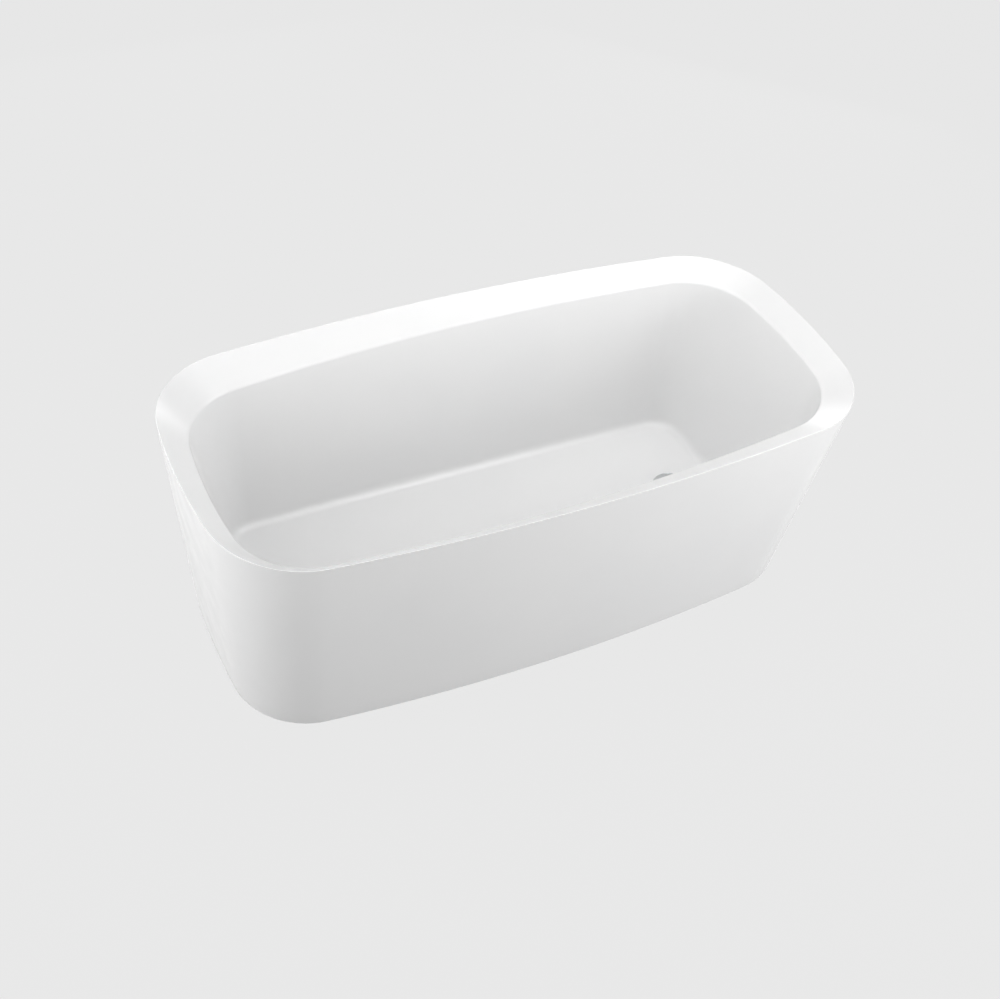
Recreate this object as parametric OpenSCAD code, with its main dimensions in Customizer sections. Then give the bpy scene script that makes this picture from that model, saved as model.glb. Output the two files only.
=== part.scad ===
// Freestanding double-wall bathtub: an acrylic basin and skirt bonded at the lip, a steel frame on
// four levelling feet, and a click-clack waste with a low trap. Millimetres, +Z up. The origin is
// on the floor at the middle of the tub; +X points to the waste end.

/* [Overall size] */
// Length over the rim, before the lip's edge is rounded
tub_length = 1600; // [1400:5:1920]
// Width over the rim, measured at mid-length
tub_width = 773; // [720:1:900]
// Height of the lip above the floor, before its edge is rounded
tub_height = 585; // [485:1:700]

/* [Skirt] */
// How far each end leans in from the rim to the floor
end_taper = 63; // [40:1:76]
// How far each long side leans in from the rim to the floor
side_taper = 65; // [40:1:75]
// Corner radius at the rim
rim_corner_r = 215; // [180:1:230]
// Bulge of the ends at the rim
rim_end_bulge = 8.7; // [4:0.1:14]
// Bulge of the long sides at the rim
rim_side_bulge = 29.4; // [15:0.1:40]
// Corner radius at the floor
foot_corner_r = 183; // [150:1:200]
// Bulge of the ends at the floor
foot_end_bulge = 3; // [2:0.1:8]
// Bulge of the long sides at the floor
foot_side_bulge = 29; // [15:0.1:40]
// Gap between the skirt and the floor
skirt_gap = 1.5; // [1:0.1:4]
// Width of the flange turned in along the skirt's lower edge
skirt_flange_w = 20; // [10:1:30]

/* [Rim and basin] */
// Width of the sloped rim at the ends
rim_end_w = 63.7; // [45:0.1:76]
// Width of the sloped rim along the sides
rim_side_w = 60; // [45:0.1:72]
// Drop of the sloped rim, at mid-length
rim_drop = 48.6; // [30:0.1:60]
// Rise of the rim's inner edge towards the waste end, per millimetre
rim_rise = 0.023; // [0:0.001:0.03]
// Corner radius at the rim's inner edge
inner_corner_r = 173.5; // [150:0.5:190]
// Bulge of the ends at the rim's inner edge
inner_end_bulge = 7.1; // [4:0.1:12]
// Bulge of the long sides at the rim's inner edge
inner_side_bulge = 31.7; // [15:0.1:40]
// How far each end wall of the basin leans in, down to the floor
basin_end_lean = 102; // [70:1:120]
// How far each long wall of the basin leans in, down to the floor
basin_side_lean = 72; // [50:1:85]
// Corner radius of the basin floor
floor_corner_r = 70; // [55:1:85]
// Bulge of the ends of the basin floor
floor_end_bulge = 2; // [1:0.5:5]
// Bulge of the long sides of the basin floor
floor_side_bulge = 5; // [3:0.5:12]
// Height of the basin floor at mid-length
floor_z = 116; // [112:1:140]
// Fall of the basin floor towards the waste, per millimetre
floor_fall = 0.012; // [0.006:0.001:0.014]
// Length taken by the rounding between floor and walls
floor_fillet = 22; // [14:1:30]
// Length taken by the rounding of the rim's inner edge
rim_fillet = 5; // [3:1:14]
// Length taken by the rounding of the lip
lip_fillet = 3; // [1:0.5:4]

/* [Walls] */
// Thickness of the acrylic
acrylic_t = 5; // [4:0.5:6]
// Height of the lip, down to the bond with the skirt
lip_h = 6; // [5:0.5:9]
// Thickness of the glass-fibre layer on the basin
basin_glass_t = 4; // [2:0.5:5]
// Thickness of the glass-fibre layer on the skirt
skirt_glass_t = 3; // [2:0.5:4]
// Bond line between the glass fibre, the acrylic and the base board
bond_t = 0.02; // [0.01:0.01:0.1]
// How far below the rim's inner edge the basin's glass fibre starts
glass_top_drop = 30; // [20:1:60]

/* [Frame] */
// Height of the frame's top face, under the base board
frame_top = 85; // [83:1:88]
// Side of the square steel tube
tube_size = 30; // [25:1:36]
// Wall of the square steel tube
tube_wall = 2; // [1.5:0.5:3]
// Distance between the rails' centre lines
rail_span = 340; // [300:5:360]
// Distance from the skirt's foot to each end of the rails
rail_end_gap = 117; // [100:1:140]
// How far the base board stands out beyond the rails' centre lines
board_overhang = 35; // [20:1:45]
// Distance from the edge of the basin floor to each end of the board
board_end_gap = 48; // [40:1:80]
// Corner radius of the base board
board_corner_r = 60; // [20:1:70]

/* [Brackets and screws] */
// Width of the flat bar of a bracket
bracket_w = 30; // [20:1:40]
// Thickness of the flat bar
bracket_t = 3; // [2:0.5:4]
// Height of the tab laminated to the skirt
bracket_tab_h = 70; // [50:1:90]
// Distance of the side brackets from mid-length
bracket_x = 300; // [220:5:340]
// Depth of a tab in the glass fibre
bracket_bed = 0.6; // [0.2:0.1:1]
// Shank radius of the bracket screws
screw_r = 2.5; // [2:0.1:3]
// Head radius of the bracket and board screws
screw_head_r = 5.5; // [4:0.5:7]
// Head height of the screws
screw_head_h = 3; // [2:0.5:4]
// Shank radius of the board screws
board_screw_r = 2.2; // [1.8:0.1:2.6]
// Depth of the board screws in the board
board_screw_bite = 11; // [8:1:12]

/* [Feet] */
// Distance of the feet from mid-length
foot_x = 545; // [400:5:560]
// Radius of a foot pad
pad_r = 25; // [20:1:30]
// Thickness of a foot pad at its edge
pad_t = 8; // [6:1:10]
// Height of the boss on a pad
pad_boss_h = 5; // [3:1:6]
// Radius of the foot stud
stud_r = 6; // [5:0.5:8]
// Length of the foot stud
stud_length = 72; // [68:1:74]
// Wall left under the stud in the pad
pad_floor_t = 3.8; // [2:0.2:5]
// Height of the hexagon on the stud
stud_hex_h = 6; // [4:1:8]
// Height of the weld nut under the rail
weld_nut_h = 10; // [8:1:12]
// Height of the lock nut
lock_nut_h = 7; // [5:1:8]
// Radial clearance between a stud and its nuts and pad
stud_clear = 0.05; // [0.02:0.01:0.1]

/* [Waste] */
// Distance from the waste end of the rim to the waste
waste_from_end = 300; // [280:5:350]
// Radius of the waste cover
cover_r = 50; // [42:1:52]
// Height of the cover's dome
cover_dome = 3.5; // [2:0.5:5]
// Edge thickness of the cover
cover_edge = 3; // [2:0.5:4]
// Travel of the cover from open to shut
cover_travel = 6; // [4:0.5:8]
// Gap left under the shut cover
cover_gap = 0.8; // [0.6:0.1:1.2]
// Radius of the waste flange
flange_r = 46; // [40:1:47]
// Thickness of the waste flange
flange_t = 2.5; // [2:0.5:3]
// Depth of the flange's seat in the basin floor
seat_depth = 2; // [1:0.5:2.5]
// Outer radius of the waste tail
tail_r = 25; // [24:0.5:30]
// Wall of the waste tail
tail_wall = 3; // [2:0.5:4]
// Length of the waste tail below the seat
tail_length = 50; // [46:1:52]
// Thickness of the seals under and over the basin floor
seal_t = 3; // [2:0.5:4]
// Height of the waste back nut
back_nut_h = 8; // [6:1:10]
// Radius of the click cartridge
cartridge_r = 9; // [8:0.5:10]
// Radius of the plug's stem
stem_r = 5; // [4:0.5:6]
// Radial clearance of the stem in the cartridge
stem_clear = 0.05; // [0.02:0.01:0.1]

/* [Trap] */
// Radius of the trap's cup
trap_r = 46; // [42:1:50]
// Wall of the trap
trap_wall = 2.5; // [2:0.5:3]
// Height of the trap's underside above the floor
trap_z = 7; // [5:1:9]
// Height of the trap's cup
trap_h = 44; // [42:1:46]
// Radius of the outlet socket, for a 40 mm pipe
outlet_r = 20.1; // [20.1:0.1:20.4]
// Depth of the outlet socket
outlet_depth = 35; // [25:1:40]
// Length of the outlet beyond the cup
outlet_length = 52; // [46:1:70]

/* [Hidden] */
FEET = [1, 2, 3, 4];
TUBES = [1, 2, 3, 4];
BRACKETS = [1, 2, 3, 4, 5, 6];

// Where the basin's face and its back have rings between floor and rim, as shares of the wall
FACE_SHARES = [0.35, 0.7];
BACK_SHARES = [0.3, 0.65];
// Points along each stretch of a quarter outline
end_steps = 3;
corner_steps = 8;
side_steps = 6;
// Rings in each rounding
round_steps = 3;
eps = 0.01;
fine = 72;

// An outline is [half length, half width, end bulge, side bulge, corner radius, height, slope]
RIM = [tub_length / 2, tub_width / 2, rim_end_bulge, rim_side_bulge, rim_corner_r, tub_height, 0];
FOOT = [tub_length / 2 - end_taper, tub_width / 2 - side_taper, foot_end_bulge, foot_side_bulge,
        foot_corner_r, 0, 0];
INNER = [tub_length / 2 - rim_end_w, tub_width / 2 - rim_side_w, inner_end_bulge,
         inner_side_bulge, inner_corner_r, tub_height - rim_drop, rim_rise];
FLOOR = [INNER[0] - basin_end_lean, INNER[1] - basin_side_lean, floor_end_bulge,
         floor_side_bulge, floor_corner_r, floor_z, -floor_fall];

rim_pitch = rim_drop / rim_side_w;
rim_vertical_t = acrylic_t * sqrt(1 + rim_pitch * rim_pitch);
basin_depth = tub_height - rim_drop - floor_z;
wall_lean = basin_side_lean / basin_depth;
double_t = acrylic_t + skirt_glass_t;
rim_back_z = tub_height - double_t * rim_pitch - rim_vertical_t;
basin_t = acrylic_t + basin_glass_t;
skirt_angle = atan(side_taper / tub_height);
end_angle = atan(end_taper / tub_height);

rail_half = FOOT[0] - rail_end_gap;
frame_bottom = frame_top - tube_size;
rail_y = rail_span / 2;
cross_length = rail_span - tube_size;

waste_x = tub_length / 2 - waste_from_end;
seat_z = floor_z - floor_fall * waste_x - seat_depth;
tail_bottom = seat_z - tail_length;
tail_bore = tail_r - tail_wall;
flange_top = seat_z + flange_t;
cover_z = flange_top + cover_gap + cover_travel;
under_floor_z = floor_z - floor_fall * waste_x - acrylic_t;
nut_top = under_floor_z - seal_t;
glass_hole_r = flange_r - 4;
back_nut_r = tail_r + 9;
boss_r = cartridge_r + 3;
cartridge_top = seat_z - 3;
cartridge_h = 30;

stud_bottom = pad_floor_t + 0.2;
hex_bottom = pad_t + pad_boss_h + 0.2;
hex_r = stud_r * 1.7;
weld_nut_r = stud_r + 5;
lock_nut_r = stud_r * 1.8;

outlet_z = trap_z + trap_h / 2;
outlet_wall = 2.5;
socket_x = waste_x - trap_r - outlet_length;
nut_length = 15;
nut_wall = 3.5;

// Outline points, anticlockwise from the +X end: bulged ends and sides joined by round corners
function quarter(s) =
    let (x0 = s[0] - s[4] - s[2], y0 = s[1] - s[4] - s[3])
    let (ra = (y0 * y0 + s[2] * s[2]) / (2 * s[2]), rb = (x0 * x0 + s[3] * s[3]) / (2 * s[3]))
    let (ta = asin(y0 / ra), tb = asin(x0 / rb), end_r = ra + s[4], side_r = rb + s[4])
    concat(
        [for (i = [0:end_steps - 1]) let (t = ta * i / end_steps)
            [s[0] - end_r + end_r * cos(t), end_r * sin(t)]],
        [for (i = [0:corner_steps - 1]) let (t = ta + (90 - tb - ta) * i / corner_steps)
            [x0 + s[4] * cos(t), y0 + s[4] * sin(t)]],
        [for (i = [0:side_steps]) let (t = tb * (1 - i / side_steps))
            [side_r * sin(t), s[1] - side_r + side_r * cos(t)]]
    );

function outline(s) =
    let (q = quarter(s), m = len(q) - 1)
    concat(
        q,
        [for (i = [m - 1:-1:0]) [-q[i].x, q[i].y]],
        [for (i = [1:m]) [-q[i].x, -q[i].y]],
        [for (i = [m - 1:-1:1]) [q[i].x, -q[i].y]]
    );

function ring(s) = [for (p = outline(s)) [p.x, p.y, s[5] + s[6] * p.x]];
function mix(s0, s1, t) = s0 + (s1 - s0) * t;
function grow(s, d, dz = 0) = s + [d, d, 0, 0, d, dz, 0];
function span(s0, s1) = norm([s1[1] - s0[1], s1[5] - s0[5]]);
function toward(s0, s1, d) = mix(s0, s1, d / span(s0, s1));
function skirt_at(z) = mix(FOOT, RIM, z / tub_height);

// The slanted underside of the lip, at a depth behind the skirt's face: the skirt is bonded to it
function under_lip(d) =
    mix(skirt_at(tub_height - lip_h), grow(skirt_at(rim_back_z), -double_t), d / double_t);

// A rounding between two stations that meet at a sharp corner
function rounding(from, corner, to) = [for (i = [0:round_steps]) let (t = i / round_steps)
    from * (1 - t) * (1 - t) + corner * 2 * t * (1 - t) + to * t * t];

// Half width of an outline at a distance along its length
function side_radius(s) = let (x0 = s[0] - s[4] - s[2]) (x0 * x0 + s[3] * s[3]) / (2 * s[3]) + s[4];
function side_y(s, x) = let (r = side_radius(s)) s[1] - r + sqrt(r * r - x * x);

// Two triangles over four corners, split along the shorter diagonal whichever ring comes first
function split(points, a, an, b, bn) = norm(points[a] - points[bn]) < norm(points[an] - points[b])
    ? [[a, an, bn], [a, bn, b]]
    : [[a, an, b], [an, bn, b]];

// A closed skin over rings; a looped one is a band, and the other has a cap at each end
module loft(stations, looped = false) {
    rings = [for (s = stations) ring(s)];
    n = len(rings[0]);
    count = len(rings);
    last = looped ? count - 1 : count - 2;
    points = [for (r = rings) for (p = r) p];
    sides = [for (i = [0:last]) for (j = [0:n - 1])
        let (a = i * n, b = ((i + 1) % count) * n, jn = (j + 1) % n)
        each split(points, a + j, a + jn, b + j, b + jn)];
    caps = looped ? [] : [[for (j = [n - 1:-1:0]) j], [for (j = [0:n - 1]) (count - 1) * n + j]];
    polyhedron(points = points, faces = concat(sides, caps), convexity = 8);
}

module tube(r_out, r_in, h) {
    difference() {
        cylinder(r = r_out, h = h, $fn = fine);
        translate([0, 0, -eps]) cylinder(r = r_in, h = h + 2 * eps, $fn = fine);
    }
}

module at_waste(z = 0) {
    translate([waste_x, 0, z]) children();
}

// Everything above a plane that lies the given depth under the basin floor
module above_floor_plane(depth) {
    translate([0, 0, floor_z - depth])
        rotate([0, atan(floor_fall), 0])
            translate([-tub_length, -tub_width, 0])
                cube([2 * tub_length, 2 * tub_width, tub_height]);
}

function basin_top() = concat(
    rounding(grow(FLOOR, -floor_fillet), FLOOR, toward(FLOOR, INNER, floor_fillet)),
    [for (t = FACE_SHARES) mix(FLOOR, INNER, t)],
    rounding(toward(INNER, FLOOR, rim_fillet), INNER, toward(INNER, RIM, rim_fillet)),
    rounding(toward(RIM, INNER, lip_fillet), RIM, toward(RIM, FOOT, lip_fillet))
);

// The back of the basin at a depth behind its face, from the top of the glass fibre down
function basin_back(t) =
    let (low = grow(FLOOR, t * (1 - wall_lean), -t), high = grow(INNER, t))
    concat(
        [toward(high, low, glass_top_drop), for (t = BACK_SHARES) mix(high, low, t)],
        rounding(toward(low, high, floor_fillet), low, grow(FLOOR, -floor_fillet, -t))
    );

function reversed(list) = [for (i = [len(list) - 1:-1:0]) list[i]];

module basin_shell() {
    color("white") difference() {
        loft(concat(
            basin_top(),
            [under_lip(0), under_lip(acrylic_t), under_lip(double_t),
             grow(INNER, acrylic_t, acrylic_t * rim_pitch - rim_vertical_t)],
            basin_back(acrylic_t)
        ));
        at_waste(seat_z) cylinder(r = flange_r + 1, h = floor_fillet, $fn = fine);
        at_waste(seat_z - floor_z / 2) cylinder(r = tail_r + 1, h = floor_z, $fn = fine);
    }
}

module basin_glass_fibre() {
    color("palegoldenrod") difference() {
        loft(concat(reversed(basin_back(acrylic_t + bond_t)), basin_back(basin_t)));
        at_waste(seat_z - floor_z / 2) cylinder(r = glass_hole_r, h = floor_z, $fn = fine);
    }
}

module outer_skirt() {
    low = skirt_at(skirt_gap);
    flange = skirt_at(skirt_gap + acrylic_t);
    color("white") loft(
        [under_lip(acrylic_t), under_lip(0), low, grow(low, -acrylic_t - skirt_flange_w),
         grow(flange, -acrylic_t - skirt_flange_w), grow(flange, -acrylic_t)],
        looped = true
    );
}

module skirt_glass_fibre() {
    low = skirt_at(skirt_gap + acrylic_t);
    color("palegoldenrod") loft(
        [under_lip(double_t), under_lip(acrylic_t), grow(low, -acrylic_t), grow(low, -double_t)],
        looped = true
    );
}

module board_plan() {
    x = FLOOR[0] - board_end_gap - board_corner_r;
    y = rail_y + board_overhang - board_corner_r;
    square([2 * (x + board_corner_r), 2 * y], center = true);
    square([2 * x, 2 * (y + board_corner_r)], center = true);
    for (sx = [-1, 1], sy = [-1, 1]) translate([sx * x, sy * y])
        circle(r = board_corner_r, $fn = fine);
}

module base_board() {
    color("peru") difference() {
        translate([0, 0, frame_top]) linear_extrude(height = floor_z) board_plan();
        above_floor_plane(basin_t + bond_t);
        at_waste() cylinder(r = cover_r + 8, h = tub_height, $fn = fine);
        board_screw_places() translate([0, 0, -eps])
            cylinder(r = board_screw_r, h = board_screw_bite + eps, $fn = 24);
    }
}

module box_tube(length) {
    difference() {
        cube([length, tube_size, tube_size], center = true);
        cube([length + 1, tube_size - 2 * tube_wall, tube_size - 2 * tube_wall], center = true);
    }
}

// The rail's holes: one at each foot, and the drilled seats of the screws
module frame_rail(side) {
    color("dimgray") difference() {
        translate([0, side * rail_y, frame_top - tube_size / 2]) box_tube(2 * rail_half);
        for (f = FEET) at_foot(f, frame_bottom - 1)
            cylinder(r = weld_nut_r - 3, h = tube_wall + 2, $fn = fine);
        board_screw_places() translate([0, 0, -tube_wall - 1])
            cylinder(r = board_screw_r, h = tube_wall + 2, $fn = 24);
        board_screw_places() translate([0, 0, -tube_size - 1])
            cylinder(r = screw_head_r + 1, h = tube_wall + 2, $fn = 24);
        for (b = BRACKETS) bracket_screw_places(b)
            cylinder(r = screw_r, h = 2 * tube_wall, $fn = 24);
    }
}

// Cross tubes stand at the ends of the rails, at the waste and between them
function cross_x(i) = i == 1 ? -rail_half + tube_size / 2
    : i == 2 ? -rail_half / 3
    : i == 3 ? rail_half / 3
    : rail_half - tube_size / 2;

module cross_tube(i) {
    color("dimgray") difference() {
        translate([cross_x(i), 0, frame_top - tube_size / 2]) rotate([0, 0, 90])
            box_tube(cross_length);
        for (b = BRACKETS) bracket_screw_places(b)
            cylinder(r = screw_r, h = 2 * tube_wall, $fn = 24);
    }
}

module rail_end_caps() {
    inner = tube_size - 2 * tube_wall;
    plug = 12;
    cap_t = 3;
    color("black") for (sx = [-1, 1], sy = [-1, 1])
        translate([sx * rail_half, sy * rail_y, frame_top - tube_size / 2]) {
            translate([sx * cap_t / 2, 0, 0])
                cube([cap_t, tube_size, tube_size], center = true);
            translate([-sx * plug / 2, 0, 0]) cube([plug, inner, inner], center = true);
        }
}

// Where the screws go up through the rails' top wall into the base board
module board_screw_places() {
    for (sy = [-1, 1], x = [-3, -1, 1, 3])
        translate([x * rail_half / 4, sy * rail_y, frame_top]) children();
}

module board_screws() {
    color("silver") board_screw_places() {
        translate([0, 0, -tube_wall]) cylinder(r = board_screw_r, h = board_screw_bite + tube_wall,
                                               $fn = 24);
        translate([0, 0, -tube_wall - screw_head_h])
            cylinder(r1 = screw_head_r - 1, r2 = screw_head_r, h = screw_head_h, $fn = 24);
    }
}

// Brackets 1 to 4 stand along the sides and 5 and 6 at the ends; local +Y points at the skirt
module at_bracket(b) {
    s = skirt_at(frame_bottom);
    x = (b == 1 || b == 3 ? -1 : 1) * bracket_x;
    side = b <= 2 ? 1 : -1;
    turn = asin(x / side_radius(s));
    if (b <= 4) translate([x, side * side_y(s, x), frame_bottom])
        rotate([0, 0, side > 0 ? -turn : 180 + turn]) children();
    else translate([(b == 5 ? -1 : 1) * s[0], 0, frame_bottom])
        rotate([0, 0, b == 5 ? 90 : -90]) children();
}

// How far a bracket's bar runs inwards from the skirt to the tube that carries it
function bracket_reach(b) = let (s = skirt_at(frame_bottom))
    b <= 4 ? side_y(s, bracket_x) - rail_y + tube_size / 2
    : s[0] - rail_half + tube_size;

module bracket_screw_places(b) {
    at_bracket(b) for (sx = [-1, 1])
        translate([sx * bracket_w / 4, tube_size / 2 - bracket_reach(b), -tube_wall / 2])
            children();
}

// A flat bar bent up along the skirt: its side outline, extruded to its width
module skirt_bracket(b) {
    lean = b <= 4 ? skirt_angle : end_angle;
    reach = bracket_reach(b);
    foot_y = bracket_bed - double_t;
    side = [
        [-reach, -bracket_t],
        [foot_y - bracket_t * tan(lean), -bracket_t],
        [foot_y + bracket_tab_h * tan(lean), bracket_tab_h],
        [foot_y + bracket_tab_h * tan(lean) - bracket_t, bracket_tab_h],
        [foot_y - bracket_t, 0],
        [-reach, 0]
    ];
    color("silver") difference() {
        at_bracket(b) rotate([90, 0, 90])
            linear_extrude(height = bracket_w, center = true) polygon(side);
        bracket_screw_places(b) translate([0, 0, -bracket_t - 1])
            cylinder(r = screw_r, h = 2 * bracket_t, $fn = 24);
    }
}

module bracket_screws() {
    color("silver") for (b = BRACKETS) bracket_screw_places(b) translate([0, 0, tube_wall / 2]) {
        translate([0, 0, -bracket_t]) cylinder(r = screw_r, h = bracket_t + 8, $fn = 24);
        translate([0, 0, -bracket_t - screw_head_h])
            cylinder(r1 = screw_head_r - 1, r2 = screw_head_r, h = screw_head_h, $fn = 24);
    }
}

// Feet 1 and 2 stand at the head end, 3 and 4 at the waste end
module at_foot(f, z = 0) {
    translate([(f <= 2 ? -1 : 1) * foot_x, (f % 2 == 1 ? 1 : -1) * rail_y, z]) children();
}

module nut(r, bore, h) {
    difference() {
        cylinder(r = r, h = h, $fn = 6);
        translate([0, 0, -1]) cylinder(r = bore, h = h + 2, $fn = fine);
    }
}

module foot_weld_nuts() {
    color("silver") for (f = FEET) {
        at_foot(f, frame_bottom - weld_nut_h) nut(weld_nut_r, stud_r + stud_clear, weld_nut_h);
        at_foot(f, frame_bottom) tube(weld_nut_r - 3, stud_r + stud_clear, tube_wall);
    }
}

module foot_lock_nuts() {
    color("silver") for (f = FEET) at_foot(f, frame_bottom - weld_nut_h - lock_nut_h)
        nut(lock_nut_r, stud_r + stud_clear, lock_nut_h);
}

module foot_pad(f) {
    color("black") at_foot(f) difference() {
        union() {
            cylinder(r = pad_r, h = pad_t / 2, $fn = fine);
            translate([0, 0, pad_t / 2]) cylinder(r1 = pad_r, r2 = pad_r * 0.6, h = pad_t / 2,
                                                  $fn = fine);
            cylinder(r = pad_r / 2, h = pad_t + pad_boss_h, $fn = fine);
        }
        translate([0, 0, pad_floor_t]) cylinder(r = stud_r + stud_clear, h = tub_height,
                                                $fn = fine);
    }
}

module foot_stud(f) {
    color("silver") at_foot(f) {
        translate([0, 0, stud_bottom]) cylinder(r = stud_r, h = stud_length, $fn = fine);
        translate([0, 0, hex_bottom]) cylinder(r = hex_r, h = stud_hex_h, $fn = 6);
    }
}

// The spider's arms stop short of its boss at top and bottom
module waste_flange() {
    arm_t = 3;
    boss_h = 12;
    color("silver") at_waste() difference() {
        union() {
            translate([0, 0, seat_z]) tube(flange_r, tail_bore, flange_t);
            translate([0, 0, tail_bottom]) tube(tail_r, tail_bore, tail_length + flange_t);
            translate([0, 0, cartridge_top - boss_h]) {
                cylinder(r = boss_r, h = boss_h, $fn = fine);
                for (a = [0, 120, 240]) rotate([0, 0, a]) translate([0, -arm_t / 2, 1])
                    cube([tail_bore + 1, arm_t, boss_h - 2]);
            }
        }
        translate([0, 0, cartridge_top - cartridge_h])
            cylinder(r = cartridge_r, h = 2 * cartridge_h, $fn = fine);
        translate([0, 0, seat_z - eps]) tube(flange_r - 5, tail_r + 4, 1 + eps);
    }
}

module flange_seal() {
    color("black") at_waste(seat_z) tube(flange_r - 5, tail_r + 4, 1);
}

module tail_seal() {
    color("black") difference() {
        at_waste(nut_top) tube(back_nut_r - 1, tail_r, seal_t + 2);
        above_floor_plane(acrylic_t);
    }
}

module waste_back_nut() {
    color("dimgray") at_waste(nut_top - back_nut_h) {
        tube(back_nut_r, tail_r, 2 * back_nut_h / 3);
        translate([0, 0, 2 * back_nut_h / 3]) tube(back_nut_r + 3, tail_r, back_nut_h / 3);
        for (a = [0:60:300]) rotate([0, 0, a]) translate([back_nut_r - 2, -3, 0])
            cube([5, 6, 2 * back_nut_h / 3]);
    }
}

module click_cartridge() {
    color("goldenrod") at_waste(cartridge_top - cartridge_h)
        tube(cartridge_r, stem_r + stem_clear, cartridge_h);
}

module plug_cover() {
    dome_r = (cover_r * cover_r + cover_dome * cover_dome) / (2 * cover_dome);
    color("silver") at_waste(cover_z) {
        cylinder(r = cover_r, h = cover_edge, $fn = fine);
        intersection() {
            translate([0, 0, cover_edge]) cylinder(r = cover_r, h = cover_dome + 1, $fn = fine);
            translate([0, 0, cover_edge + cover_dome - dome_r]) sphere(r = dome_r, $fn = 180);
        }
    }
}

module plug_seal() {
    color("black") at_waste(cover_z - cover_gap) tube(flange_r - 6, tail_bore + 4, cover_gap);
}

module plug_stem() {
    color("goldenrod") at_waste(cartridge_top - cartridge_h + cover_travel + 4)
        cylinder(r = stem_r, h = cover_z - cartridge_top + cartridge_h - cover_travel - 4,
                 $fn = fine);
}

module trap_shape(grow_by) {
    at_waste(trap_z - grow_by) cylinder(r = trap_r + grow_by, h = trap_h + 2 * grow_by,
                                        $fn = fine);
}

module trap_body() {
    dip_r = tail_bore - 2;
    neck_h = tail_bottom + 12 - trap_z - trap_h;
    color("whitesmoke") {
        difference() {
            union() {
                trap_shape(0);
                at_waste(trap_z + trap_h) cylinder(r = tail_r + trap_wall + 1, h = neck_h,
                                                   $fn = fine);
                translate([socket_x, 0, outlet_z]) rotate([0, 90, 0])
                    cylinder(r = outlet_r + outlet_wall, h = outlet_length + trap_wall,
                             $fn = fine);
            }
            trap_shape(-trap_wall);
            at_waste(tail_bottom) cylinder(r = tail_r + 1, h = floor_z, $fn = fine);
            at_waste(trap_z + trap_h - 2 * trap_wall) cylinder(r = dip_r, h = floor_z, $fn = fine);
            translate([socket_x - 1, 0, outlet_z]) rotate([0, 90, 0])
                cylinder(r = outlet_r, h = outlet_depth + 1, $fn = fine);
            translate([socket_x, 0, outlet_z]) rotate([0, 90, 0])
                cylinder(r = outlet_r - 2, h = outlet_length + 2 * trap_wall, $fn = fine);
        }
        at_waste(trap_z + trap_h / 2)
            tube(dip_r + 1.5, dip_r, trap_h / 2 - trap_wall);
    }
}

module trap_union_nut() {
    h = 16;
    ring_r = tail_r + trap_wall + 1;
    color("whitesmoke") at_waste(tail_bottom + 12 + seal_t - h) {
        tube(ring_r + 4, ring_r, h);
        translate([0, 0, h]) tube(ring_r + 4, tail_r, 2);
        for (a = [0:30:330]) rotate([0, 0, a]) translate([ring_r + 3, -1.5, 0]) cube([2, 3, h]);
    }
}

module trap_seal() {
    color("black") at_waste(tail_bottom + 12) tube(tail_r + trap_wall + 1, tail_r, seal_t);
}

module outlet_nut() {
    outer = outlet_r + outlet_wall;
    color("whitesmoke") translate([socket_x - seal_t - 2, 0, outlet_z]) rotate([0, 90, 0]) {
        tube(outer + nut_wall, outlet_r, 2);
        translate([0, 0, 2]) tube(outer + nut_wall, outer, nut_length);
        for (a = [15:30:345]) rotate([0, 0, a]) translate([outer + nut_wall - 1, -1.5, 0])
            cube([2, 3, nut_length + 2]);
    }
}

module outlet_seal() {
    color("black") translate([socket_x - seal_t, 0, outlet_z]) rotate([0, 90, 0])
        tube(outlet_r + outlet_wall, outlet_r, seal_t);
}

basin_shell();
basin_glass_fibre();
outer_skirt();
skirt_glass_fibre();
base_board();
frame_rail(1);  // frame_rail_left
frame_rail(-1);  // frame_rail_right
for (i = TUBES) cross_tube(i);
rail_end_caps();
for (b = BRACKETS) skirt_bracket(b);
bracket_screws();
board_screws();
foot_weld_nuts();
foot_lock_nuts();
for (f = FEET) foot_pad(f);
for (f = FEET) foot_stud(f);
waste_flange();
flange_seal();
tail_seal();
waste_back_nut();
click_cartridge();
plug_cover();
plug_seal();
plug_stem();
trap_body();
trap_union_nut();
trap_seal();
outlet_nut();
outlet_seal();
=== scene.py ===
"""A freestanding double-wall bathtub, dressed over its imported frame.

Metres, +Z up. The origin is on the floor at the middle of the tub, and +X points to the waste end.
"""

import logging
import math
from abc import ABC, abstractmethod
from dataclasses import dataclass, replace
from enum import Enum
from typing import Iterable, Mapping, Sequence, Union

import bmesh
import bpy
from mathutils import Matrix, Vector, noise


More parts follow.
